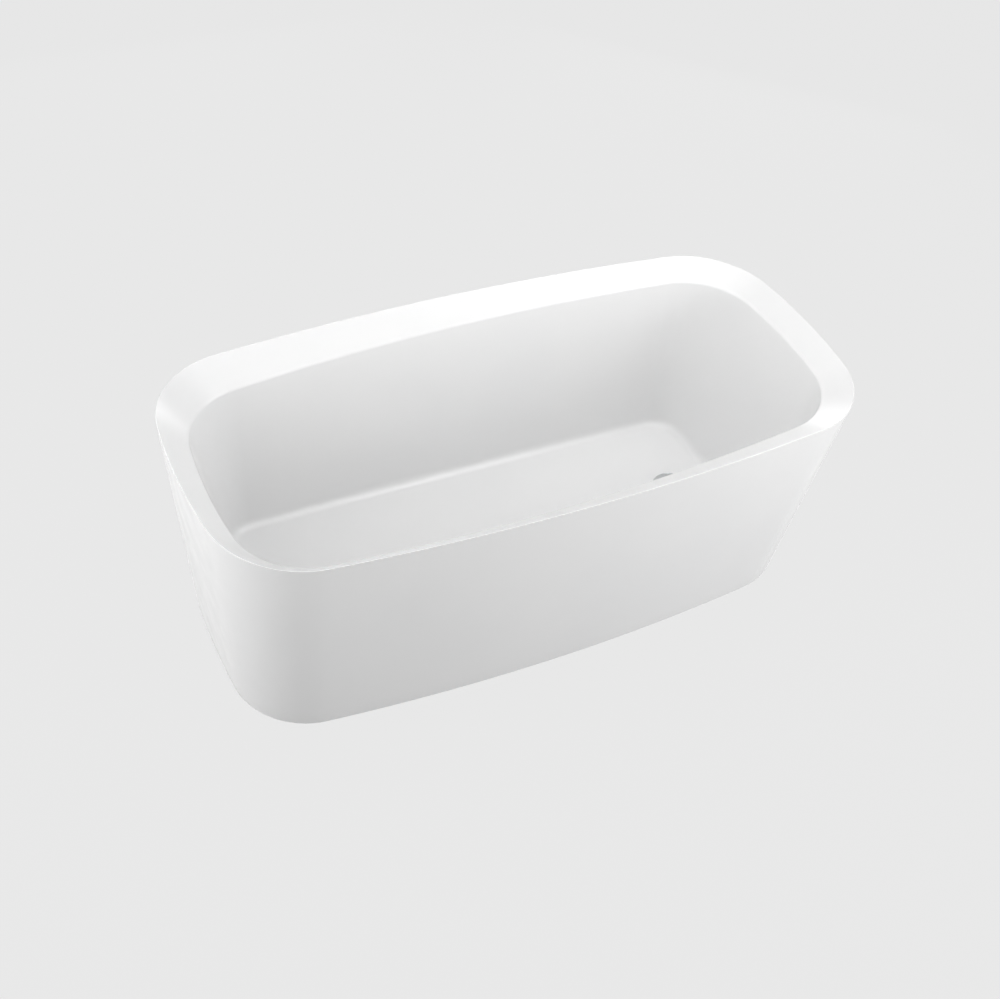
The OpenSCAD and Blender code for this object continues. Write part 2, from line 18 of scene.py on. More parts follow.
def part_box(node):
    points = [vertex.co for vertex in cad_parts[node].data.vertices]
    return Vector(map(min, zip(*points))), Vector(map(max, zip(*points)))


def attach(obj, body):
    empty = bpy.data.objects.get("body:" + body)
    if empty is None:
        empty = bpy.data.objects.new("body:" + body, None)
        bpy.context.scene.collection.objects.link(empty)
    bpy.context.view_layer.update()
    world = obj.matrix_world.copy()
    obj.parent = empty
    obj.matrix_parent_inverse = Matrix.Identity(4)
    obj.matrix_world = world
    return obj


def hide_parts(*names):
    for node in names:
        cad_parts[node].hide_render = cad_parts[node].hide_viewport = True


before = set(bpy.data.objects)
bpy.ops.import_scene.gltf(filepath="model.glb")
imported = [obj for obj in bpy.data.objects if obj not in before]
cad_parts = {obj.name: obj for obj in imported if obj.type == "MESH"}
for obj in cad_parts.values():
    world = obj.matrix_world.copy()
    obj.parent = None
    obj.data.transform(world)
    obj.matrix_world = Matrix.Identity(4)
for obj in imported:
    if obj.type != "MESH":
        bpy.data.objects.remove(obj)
LOG = logging.getLogger("bathtub")
MM = 0.001
Ring = Sequence[Vector]


class Surface(Enum):
    """The finishes of the tub, each by the name of its material slot."""

    ACRYLIC = "acrylic"
    GLASS_FIBRE = "glass_fibre"
    BOARD = "board"
    FRAME_PAINT = "frame_paint"
    ZINC_STEEL = "zinc_steel"
    BLACK_PLASTIC = "black_plastic"
    CHROME = "chrome"
    BRASS = "brass"
    RUBBER = "rubber"
    TRAP_PLASTIC = "trap_plastic"


# --- Shader wiring -------------------------------------------------------------------------


class Signal:
    """A node's output socket. Arithmetic on it adds Math nodes."""

    def __init__(self, graph: "Graph", socket: bpy.types.NodeSocket) -> None:
        """Keeps the graph that the socket belongs to."""
        self.graph = graph
        self.socket = socket

    def _math(self, operation: str, first: "Term", second: "Term" = 0.0) -> "Signal":
        """Adds one Math node of that operation."""
        return self.graph.node("ShaderNodeMath", {"operation": operation}, {0: first, 1: second})

    def __add__(self, other: "Term") -> "Signal":
        """This value plus another."""
        return self._math("ADD", self, other)

    def __radd__(self, other: "Term") -> "Signal":
        """Another value plus this one."""
        return self._math("ADD", other, self)

    def __mul__(self, other: "Term") -> "Signal":
        """This value times another."""
        return self._math("MULTIPLY", self, other)

    def __rmul__(self, other: "Term") -> "Signal":
        """Another value times this one."""
        return self._math("MULTIPLY", other, self)


Term = Union[Signal, float]
Value = Union[Signal, float, Sequence[float]]


class Graph:
    """A node tree that is wired in Python expressions."""

    def __init__(self, tree: bpy.types.NodeTree) -> None:
        """Empties the tree."""
        self.tree = tree
        tree.nodes.clear()

    def node(
        self,
        kind: str,
        settings: Mapping[str, object] | None = None,
        values: Mapping[int | str, Value] | None = None,
        output: int | str = 0,
    ) -> Signal:
        """Adds one node.

        Args:
            kind: The node's type.
            settings: Its own settings, which are set first.
            values: The numbers, colours or signals of its inputs.
            output: The output that is handed back.

        Returns:
            The signal of that output.
        """
        made = self.tree.nodes.new(kind)
        for key, value in (settings or {}).items():
            setattr(made, key, value)
        for key, value in (values or {}).items():
            if isinstance(value, Signal):
                self.tree.links.new(value.socket, made.inputs[key])
            else:
                made.inputs[key].default_value = value
        return Signal(self, made.outputs[output])

    def end(self, kind: str, shader: Signal) -> None:
        """Ends the graph.

        Args:
            kind: The type of the output node.
            shader: The shader that it shows.
        """
        made = self.tree.nodes.new(kind)
        self.tree.links.new(shader.socket, made.inputs["Surface"])


class Paint(Graph):
    """The graph of one material, with the patterns that the finishes share."""

    def __init__(self, name: str) -> None:
        """Makes the material and its object coordinates."""
        self.material = bpy.data.materials.new(name)
        self.material.use_nodes = True
        super().__init__(self.material.node_tree)
        self.place = self.node("ShaderNodeTexCoord", output="Object")

    def stretched(self, scale: Sequence[float], turn: Sequence[float] = (0, 0, 0)) -> Signal:
        """Object coordinates that are turned and then stretched.

        Args:
            scale: Scale along each axis.
            turn: Turn about each axis, in degrees.

        Returns:
            The coordinates.
        """
        turned = self.node(
            "ShaderNodeMapping",
            values={"Vector": self.place, "Rotation": tuple(math.radians(a) for a in turn)},
        )
        return self.node("ShaderNodeVectorMath", {"operation": "MULTIPLY"}, {0: turned, 1: scale})

    def cloud(self, scale: float, detail: float = 2.0, at: Signal | None = None) -> Signal:
        """Soft noise from 0 to 1.

        Args:
            scale: Lumps per metre.
            detail: How many finer layers it has.
            at: Coordinates, or None for the object's own.

        Returns:
            The noise.
        """
        return self.node(
            "ShaderNodeTexNoise",
            values={"Vector": at or self.place, "Scale": scale, "Detail": detail},
        )

    def cells(
        self, scale: float, feature: str = "F1", output: str = "Distance", at: Signal | None = None
    ) -> Signal:
        """Voronoi cells.

        Args:
            scale: Cells per metre.
            feature: Which distance is measured.
            output: Distance, or Color for a random colour in each cell.
            at: Coordinates, or None for the object's own.

        Returns:
            The chosen output.
        """
        return self.node(
            "ShaderNodeTexVoronoi",
            {"feature": feature},
            {"Vector": at or self.place, "Scale": scale},
            output,
        )

    def span(
        self, value: Signal, low: float, high: float, to_low: float = 0.0, to_high: float = 1.0
    ) -> Signal:
        """A value eased from one range into another, and held at its ends.

        Args:
            value: The value.
            low: Where the range starts.
            high: Where it ends.
            to_low: The result at its start.
            to_high: The result at its end.

        Returns:
            The eased value.
        """
        return self.node(
            "ShaderNodeMapRange",
            {"interpolation_type": "SMOOTHSTEP"},
            {0: value, 1: low, 2: high, 3: to_low, 4: to_high},
        )

    def blend(self, share: Signal, first: Value, second: Value, kind: str = "MIX") -> Signal:
        """Two colours mixed.

        Args:
            share: How much of the second shows.
            first: The colour at 0.
            second: The colour at 1.
            kind: How they mix.

        Returns:
            The mixed colour.
        """
        return self.node(
            "ShaderNodeMix",
            {"data_type": "RGBA", "blend_type": kind},
            {0: share, 6: first, 7: second},
            2,
        )

    def relief(self, height: Signal, depth: float, below: Signal | None = None) -> Signal:
        """A normal from a height.

        Args:
            height: The height, from 0 to 1.
            depth: What a height of 1 stands for, in metres.
            below: A coarser relief that this one lies on.

        Returns:
            The normal.
        """
        values: dict[int | str, Value] = {"Height": height, "Distance": depth, "Strength": 1.0}
        if below is not None:
            values["Normal"] = below
        return self.node("ShaderNodeBump", values=values)

    def dress(self, varying: Mapping[str, Signal], fixed: Mapping[str, Value]) -> bpy.types.Material:
        """Ends the material in one shader.

        Args:
            varying: The sockets that change over the surface.
            fixed: The sockets that are the same all over.

        Returns:
            The material.
        """
        shader = self.node("ShaderNodeBsdfPrincipled", values={**fixed, **varying})
        self.end("ShaderNodeOutputMaterial", shader)
        return self.material


# --- Finishes ------------------------------------------------------------------------------

Colour = tuple[float, float, float, float]


@dataclass(frozen=True)
class Finish(ABC):
    """One finish of the tub. Each builds its own material, once."""

    surface: Surface

    @abstractmethod
    def paint(self, graph: Paint) -> bpy.types.Material:
        """Wires the finish."""

    def material(self) -> bpy.types.Material:
        """The finish's material, made when it is first asked for."""
        name = f"{self.surface.value}_finish"
        return bpy.data.materials.get(name) or self.paint(Paint(name))


@dataclass(frozen=True)
class SatinAcrylic(Finish):
    """White sanitary acrylic: a satin gloss over the faint orange peel of vacuum forming."""

    surface: Surface = Surface.ACRYLIC
    white: Colour = (0.778, 0.778, 0.778, 1)
    shade: Colour = (0.760, 0.761, 0.763, 1)
    gloss: float = 0.2

    def paint(self, graph: Paint) -> bpy.types.Material:
        """Wires the finish."""
        sheet = graph.cloud(2.3, 3)
        peel = graph.cloud(95, 2)
        pores = graph.cloud(900, 2)
        colour = graph.blend(graph.span(sheet, 0.35, 0.68), self.white, self.shade)
        rough = graph.span(graph.cloud(14, 4), 0.3, 0.7, self.gloss, self.gloss + 0.05)
        fine = graph.relief(pores, 0.002 * MM, graph.relief(peel, 0.012 * MM))
        return graph.dress(
            {"Base Color": colour, "Roughness": rough, "Normal": fine},
            {"IOR": 1.49},
        )


@dataclass(frozen=True)
class ChoppedStrand(Finish):
    """Hand-laid glass fibre: short strands lying every way in a pale greenish resin."""

    surface: Surface = Surface.GLASS_FIBRE
    strand: Colour = (0.78, 0.77, 0.65, 1)
    resin: Colour = (0.55, 0.55, 0.41, 1)
    turns: tuple[float, ...] = (8, 52, 97, 141)

    def paint(self, graph: Paint) -> bpy.types.Material:
        """Wires the finish."""
        mat: Term = 0.0
        for turn in self.turns:
            lie = graph.stretched((24, 420, 120), (turn * 0.7, turn * 0.4, turn))
            mat = mat + graph.span(graph.cloud(1, 3, lie), 0.56, 0.64)
        strands = graph.span(mat, 0.0, 1.6)
        pools = graph.cloud(9, 3)
        colour = graph.blend(strands, self.resin, self.strand)
        colour = graph.blend(graph.span(pools, 0.5, 0.75, 0, 0.45), colour, self.resin)
        rough = graph.span(pools, 0.3, 0.7, 0.62, 0.3) + strands * 0.1
        rise = graph.relief(strands, 0.25 * MM, graph.relief(pools, 1.2 * MM))
        return graph.dress({"Base Color": colour, "Roughness": rough, "Normal": rise}, {"IOR": 1.53})


@dataclass(frozen=True)
class Chipboard(Finish):
    """Pressed chipboard: pale and dark chips in two sizes."""

    surface: Surface = Surface.BOARD
    pale: Colour = (0.55, 0.40, 0.24, 1)
    dark: Colour = (0.26, 0.16, 0.08, 1)

    def paint(self, graph: Paint) -> bpy.types.Material:
        """Wires the finish."""
        lie = graph.stretched((1, 2.2, 1.6), (0, 0, 31))
        chips = graph.node("ShaderNodeSeparateColor", values={0: graph.cells(170, output="Color", at=lie)})
        dust = graph.node("ShaderNodeSeparateColor", values={0: graph.cells(620, output="Color")})
        tone = chips * 0.7 + dust * 0.3
        colour = graph.blend(tone, self.dark, self.pale)
        edges = graph.span(graph.cells(170, "DISTANCE_TO_EDGE", at=lie), 0.0, 0.08)
        rise = graph.relief(edges * 0.5 + tone * 0.5, 0.15 * MM)
        rough = graph.span(graph.cloud(60, 3), 0.3, 0.7, 0.72, 0.88)
        return graph.dress({"Base Color": colour, "Roughness": rough, "Normal": rise}, {"IOR": 1.45})


@dataclass(frozen=True)
class PowderCoat(Finish):
    """Dark powder coat on the steel frame, with its pebbled skin and a little dust."""

    surface: Surface = Surface.FRAME_PAINT
    coat: Colour = (0.030, 0.032, 0.035, 1)
    dust: Colour = (0.075, 0.075, 0.072, 1)

    def paint(self, graph: Paint) -> bpy.types.Material:
        """Wires the finish."""
        colour = graph.blend(graph.span(graph.cloud(22, 4), 0.52, 0.78), self.coat, self.dust)
        rough = graph.span(graph.cloud(35, 3), 0.3, 0.7, 0.38, 0.56)
        pebble = graph.relief(graph.cells(480), 0.06 * MM)
        return graph.dress({"Base Color": colour, "Roughness": rough, "Normal": pebble}, {"IOR": 1.5})


@dataclass(frozen=True)
class ZincPlate(Finish):
    """Bright zinc plate with a faint bluish passivation and handling marks."""

    surface: Surface = Surface.ZINC_STEEL
    bright: Colour = (0.64, 0.66, 0.69, 1)
    dull: Colour = (0.50, 0.50, 0.49, 1)

    def paint(self, graph: Paint) -> bpy.types.Material:
        """Wires the finish."""
        bath = graph.cloud(75, 4)
        colour = graph.blend(graph.span(bath, 0.35, 0.7), self.bright, self.dull)
        scuff = graph.cloud(1, 3, graph.stretched((90, 900, 900), (0, 0, 24)))
        rough = graph.span(bath, 0.3, 0.7, 0.26, 0.42) + graph.span(scuff, 0.55, 0.7) * 0.1
        rise = graph.relief(scuff, 0.02 * MM)
        return graph.dress(
            {"Base Color": colour, "Roughness": rough, "Normal": rise}, {"Metallic": 1.0}
        )


@dataclass(frozen=True)
class Moulded(Finish):
    """An injection-moulded plastic with a fine spark-eroded grain."""

    surface: Surface = Surface.BLACK_PLASTIC
    colour: Colour = (0.022, 0.022, 0.024, 1)
    rubbed: Colour = (0.040, 0.040, 0.041, 1)
    smooth: float = 0.42
    grain: float = 0.03 * MM

    def paint(self, graph: Paint) -> bpy.types.Material:
        """Wires the finish."""
        flow = graph.cloud(18, 3)
        colour = graph.blend(graph.span(flow, 0.4, 0.72), self.colour, self.rubbed)
        rough = graph.span(graph.cloud(110, 3), 0.3, 0.7, self.smooth, self.smooth + 0.14)
        rise = graph.relief(graph.cloud(1500, 2), self.grain)
        return graph.dress({"Base Color": colour, "Roughness": rough, "Normal": rise}, {"IOR": 1.5})


@dataclass(frozen=True)
class Chrome(Finish):
    """Polished chrome plate, with the faint haze of wiping."""

    surface: Surface = Surface.CHROME
    plate: Colour = (0.66, 0.67, 0.68, 1)
    haze: Colour = (0.60, 0.61, 0.62, 1)

    def paint(self, graph: Paint) -> bpy.types.Material:
        """Wires the finish."""
        wipe = graph.cloud(60, 4)
        colour = graph.blend(graph.span(wipe, 0.4, 0.7), self.plate, self.haze)
        rough = graph.span(wipe, 0.3, 0.7, 0.09, 0.17)
        rise = graph.relief(graph.cloud(260, 2), 0.006 * MM)
        return graph.dress(
            {"Base Color": colour, "Roughness": rough, "Normal": rise}, {"Metallic": 1.0}
        )


@dataclass(frozen=True)
class TurnedBrass(Finish):
    """Turned brass, with tool rings round the waste's own axis."""

    surface: Surface = Surface.BRASS
    bright: Colour = (0.74, 0.54, 0.26, 1)
    tarnish: Colour = (0.46, 0.32, 0.15, 1)

    def paint(self, graph: Paint) -> bpy.types.Material:
        """Wires the finish."""
        bands = graph.cloud(1, 3, graph.stretched((30, 30, 2600)))
        age = graph.cloud(120, 4)
        colour = graph.blend(graph.span(age, 0.45, 0.75), self.bright, self.tarnish)
        rough = graph.span(age, 0.3, 0.7, 0.24, 0.4)
        return graph.dress(
            {"Base Color": colour, "Roughness": rough, "Normal": graph.relief(bands, 0.03 * MM)},
            {"Metallic": 1.0},
        )


@dataclass(frozen=True)
class Rubber(Finish):
    """Black seal rubber, matt, with a light bloom."""

    surface: Surface = Surface.RUBBER
    black: Colour = (0.016, 0.016, 0.017, 1)
    bloom: Colour = (0.050, 0.050, 0.050, 1)

    def paint(self, graph: Paint) -> bpy.types.Material:
        """Wires the finish."""
        colour = graph.blend(graph.span(graph.cloud(90, 4), 0.45, 0.8), self.black, self.bloom)
        rough = graph.span(graph.cloud(200, 3), 0.3, 0.7, 0.66, 0.84)
        rise = graph.relief(graph.cloud(1100, 3), 0.04 * MM)
        return graph.dress({"Base Color": colour, "Roughness": rough, "Normal": rise}, {"IOR": 1.52})


FINISHES: dict[Surface, Finish] = {
    finish.surface: finish
    for finish in (
        SatinAcrylic(),
        ChoppedStrand(),
        Chipboard(),
        PowderCoat(),
        ZincPlate(),
        Moulded(),
        Chrome(),
        TurnedBrass(),
        Rubber(),
        Moulded(Surface.TRAP_PLASTIC, (0.80, 0.80, 0.78, 1), (0.75, 0.75, 0.72, 1), 0.36, 0.015 * MM),
    )
}


# --- Outlines ------------------------------------------------------------------------------


@dataclass(frozen=True)
class Outline:
    """A rounded rectangle with bulged sides, level or on a slope along the tub."""

    half_length: float
    half_width: float
    end_bulge: float
    side_bulge: float
    corner: float
    height: float
    slope: float = 0.0

    def grown(self, by: float, rise: float = 0.0) -> "Outline":
        """The outline moved outwards and upwards.

        Args:
            by: How far it moves outwards.
            rise: How far it moves up.

        Returns:
            The new outline.
        """
        return replace(
            self,
            half_length=self.half_length + by,
            half_width=self.half_width + by,
            corner=self.corner + by,
            height=self.height + rise,
        )

    def mixed(self, other: "Outline", share: float) -> "Outline":
        """The outline that stands part of the way to another.

        Args:
            other: The other outline.
            share: How far towards it, from 0 to 1.

        Returns:
            The outline between them.
        """
        mine, theirs = vars(self), vars(other)
        return Outline(**{key: mine[key] + (theirs[key] - mine[key]) * share for key in mine})

    def toward(self, other: "Outline", distance: float) -> "Outline":
        """The outline that stands a distance along the wall to another.

        Args:
            other: The other outline.
            distance: How far towards it.

        Returns:
            The outline there.
        """
        wall = math.hypot(other.half_width - self.half_width, other.height - self.height)
        return self.mixed(other, distance / wall)

    def ring(self, end_steps: int = 16, corner_steps: int = 30, side_steps: int = 36) -> list[Vector]:
        """The outline's points, anticlockwise from the waste end.

        Args:
            end_steps: Points along half an end.
            corner_steps: Points round a corner.
            side_steps: Points along half a side.

        Returns:
            The points, four quarters round.
        """
        x0 = self.half_length - self.corner - self.end_bulge
        y0 = self.half_width - self.corner - self.side_bulge
        end_r = (y0 * y0 + self.end_bulge**2) / (2 * self.end_bulge) + self.corner
        side_r = (x0 * x0 + self.side_bulge**2) / (2 * self.side_bulge) + self.corner
        end_turn = math.asin(y0 / (end_r - self.corner))
        side_turn = math.asin(x0 / (side_r - self.corner))
        quarter: list[tuple[float, float]] = []
        for step in range(end_steps):
            turn = end_turn * step / end_steps
            quarter.append((self.half_length - end_r + end_r * math.cos(turn), end_r * math.sin(turn)))
        for step in range(corner_steps):
            turn = end_turn + (math.pi / 2 - side_turn - end_turn) * step / corner_steps
            quarter.append((x0 + self.corner * math.cos(turn), y0 + self.corner * math.sin(turn)))
        for step in range(side_steps + 1):
            turn = side_turn * (1 - step / side_steps)
            quarter.append((side_r * math.sin(turn), self.half_width - side_r + side_r * math.cos(turn)))
        back = quarter[-2::-1]
        flat = quarter + [(-x, y) for x, y in back] + [(-x, -y) for x, y in quarter[1:]]
        flat += [(x, -y) for x, y in back[:-1]]
        return [Vector((x, y, self.height + self.slope * x)) for x, y in flat]


def rounding(start: Outline, corner: Outline, end: Outline, steps: int) -> list[Outline]:
    """The outlines that round off the edge where two walls meet.

    Args:
        start: Where the rounding leaves the first wall.
        corner: Where the walls would meet.
        end: Where it joins the second wall.
        steps: How many steps it takes.

    Returns:
        The outlines from start to end.
    """
    shares = [step / steps for step in range(steps + 1)]
    return [start.mixed(corner, t).mixed(corner.mixed(end, t), t) for t in shares]


def between(start: Outline, end: Outline, shares: Iterable[float]) -> list[Outline]:
    """The outlines at those shares of the way from one to another."""
    return [start.mixed(end, share) for share in shares]


# --- Modelling -----------------------------------------------------------------------------


def deselect() -> None:
    """Leaves nothing selected."""
    bpy.ops.object.select_all(action="DESELECT")


def pick(piece: bpy.types.Object) -> None:
    """Selects one object alone and makes it active."""
    deselect()
    piece.select_set(True)
    bpy.context.view_layer.objects.active = piece


def loft(name: str, rings: Sequence[Ring], looped: bool = False) -> bpy.types.Object:
    """Draws a ring up through others, as one extrusion after another.

    Args:
        name: The piece's name.
        rings: Rings of the same number of points.
        looped: Whether the last ring joins the first. Otherwise both ends are filled.

    Returns:
        The closed piece, its faces outwards.
    """
    deselect()
    bpy.ops.mesh.primitive_circle_add(vertices=len(rings[0]), radius=1)
    piece = bpy.context.object
    piece.name = piece.data.name = name
    bpy.ops.object.mode_set(mode="EDIT")
    sheet = bmesh.from_edit_mesh(piece.data)
    order = sheet.verts.layers.int.new("order")
    for spot, corner in enumerate(sheet.verts):
        corner[order] = spot
        corner.co = rings[0][spot]
    for ring in [*rings[1:], *([rings[0]] if looped else [])]:
        bpy.ops.mesh.extrude_edges_move()
        sheet = bmesh.from_edit_mesh(piece.data)
        order = sheet.verts.layers.int["order"]
        for corner in sheet.verts:
            if corner.select:
                corner.co = ring[corner[order]]
    bpy.ops.mesh.select_all(action="SELECT")
    bpy.ops.mesh.remove_doubles(threshold=0.001 * MM)
    if not looped:
        bpy.ops.mesh.fill_holes(sides=0)
    bpy.ops.mesh.select_all(action="SELECT")
    bpy.ops.mesh.normals_make_consistent(inside=False)
    bpy.ops.object.mode_set(mode="OBJECT")
    piece.data.attributes.remove(piece.data.attributes["order"])
    return piece


def round_ring(centre: Vector, radius: float, count: int, sides: int = 0) -> list[Vector]:
    """A level ring of points.

    Args:
        centre: Its middle.
        radius: Its radius, or half the width over the flats of a polygon.
        count: How many points.
        sides: How many flats it has, or 0 for a circle.

    Returns:
        The points, anticlockwise.
    """
    points = []
    for step in range(count):
        turn = 2 * math.pi * step / count
        reach = radius
        if sides:
            half = math.pi / sides
            reach = radius / math.cos((turn + half) % (2 * half) - half)
        points.append(centre + Vector((reach * math.cos(turn), reach * math.sin(turn), 0)))
    return points


def turned(
    name: str, centre: Vector, profile: Sequence[tuple[float, float]], count: int = 96
) -> bpy.types.Object:
    """A piece turned about an upright axis.

    Args:
        name: The piece's name.
        centre: The foot of its axis.
        profile: Radii and heights from its bottom to its top.
        count: How many facets go round it.

    Returns:
        The closed piece.
    """
    rings = [round_ring(centre + Vector((0, 0, z)), r, count) for r, z in profile]
    return loft(name, rings)


def arc(
    centre: tuple[float, float], radius: float, start: float, end: float, steps: int = 5
) -> list[tuple[float, float]]:
    """Profile points round an edge.

    Args:
        centre: The radius and height of the arc's middle.
        radius: The arc's own radius.
        start: Where it starts, in degrees.
        end: Where it ends.
        steps: How many steps it takes.

    Returns:
        The points as radius and height.
    """
    turns = [math.radians(start + (end - start) * step / steps) for step in range(steps + 1)]
    return [(centre[0] + radius * math.cos(t), centre[1] + radius * math.sin(t)) for t in turns]


def finish_smooth(piece: bpy.types.Object, angle: float = 32.0) -> None:
    """Shades a piece smooth, apart from its edges sharper than an angle in degrees."""
    pick(piece)
    bpy.ops.object.shade_smooth_by_angle(angle=math.radians(angle))


def bevelled(piece: bpy.types.Object, width: float, segments: int = 2, limit: float = 30.0) -> None:
    """Rounds a piece's edges.

    Args:
        piece: The piece.
        width: How wide the rounding is.
        segments: How many steps it takes.
        limit: The angle above which an edge is rounded, in degrees.
    """
    pick(piece)
    modifier = piece.modifiers.new("edges", "BEVEL")
    modifier.width = width
    modifier.segments = segments
    modifier.limit_method = "ANGLE"
    modifier.angle_limit = math.radians(limit)
    modifier.use_clamp_overlap = True
    bpy.ops.object.modifier_apply(modifier=modifier.name)


def copied(piece: bpy.types.Object, name: str, move: Vector, turn: Matrix | None = None) -> bpy.types.Object:
    """A copy of a piece with its own mesh.

    Args:
        piece: The piece.
        name: The copy's name.
        move: How far the copy stands from it.
        turn: How it is turned first, about the origin.

    Returns:
        The copy, its place in its mesh.
    """
    pick(piece)
    bpy.ops.object.duplicate()
    copy = bpy.context.object
    copy.name = copy.data.name = name
    copy.data.transform(Matrix.Translation(move) @ (turn or Matrix.Identity(4)))
    return copy


def joined(pieces: Sequence[bpy.types.Object], name: str) -> bpy.types.Object:
    """Joins pieces into one.

    Args:
        pieces: The pieces.
        name: The name of the whole.

    Returns:
        The whole.
    """
    deselect()
    for piece in pieces:
        piece.select_set(True)
    bpy.context.view_layer.objects.active = pieces[0]
    bpy.ops.object.join()
    whole = bpy.context.object
    whole.name = whole.data.name = name
    return whole


def merged_copy(node: str, name: str) -> bpy.types.Object:
    """A CAD node's shape as a new piece, with its loose triangles merged into faces.

    Args:
        node: The CAD node.
        name: The piece's name.

    Returns:
        The piece, without a material.
    """
    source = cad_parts[node]
    deselect()
    piece = source.copy()
    piece.data = source.data.copy()
    piece.parent = None
    for key in [key for key in piece.keys() if key.startswith("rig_")]:
        del piece[key]
    bpy.context.scene.collection.objects.link(piece)
    piece.name = piece.data.name = name
    piece.data.materials.clear()
    pick(piece)
    bpy.ops.object.mode_set(mode="EDIT")
    bpy.ops.mesh.select_all(action="SELECT")
    bpy.ops.mesh.remove_doubles(threshold=0.004 * MM)
    bpy.ops.mesh.customdata_custom_splitnormals_clear()
    bpy.ops.mesh.dissolve_limited(angle_limit=math.radians(0.6))
    bpy.ops.object.mode_set(mode="OBJECT")
    return piece


def settle(piece: bpy.types.Object, surface: Surface, body: str, *nodes: str) -> bpy.types.Object:
    """Gives a piece its finish and its place in the frame.

    Args:
        piece: The piece.
        surface: Its finish.
        body: The body that it rides on.
        nodes: The CAD nodes that it stands for.

    Returns:
        The piece.
    """
    piece.data.materials.clear()
    piece.data.materials.append(FINISHES[surface].material())
    for face in piece.data.polygons:
        face.material_index = 0
    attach(piece, body)
    if nodes:
        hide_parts(*nodes)
    LOG.info("%s: %d faces on %s", piece.name, len(piece.data.polygons), body)
    return piece


def upright_axis(low: Vector, high: Vector) -> Vector:
    """The foot of the upright axis through the middle of a box."""
    return Vector(((low.x + high.x) / 2, (low.y + high.y) / 2, 0))


def islands(node: str) -> list[Vector]:
    """The middle of each separate solid of a CAD node.

    Args:
        node: The CAD node.

    Returns:
        The middles of their boxes.
    """
    merged_copy(node, f"{node}_islands")
    bpy.ops.object.mode_set(mode="EDIT")
    bpy.ops.mesh.select_all(action="SELECT")
    bpy.ops.mesh.separate(type="LOOSE")
    bpy.ops.object.mode_set(mode="OBJECT")
    parts = list(bpy.context.selected_objects)
    middles = []
    for part in parts:
        corners = [Vector(corner) for corner in part.bound_box]
        middles.append((corners[0] + corners[6]) / 2)
        bpy.data.objects.remove(part)
    return middles


# --- The double wall -----------------------------------------------------------------------


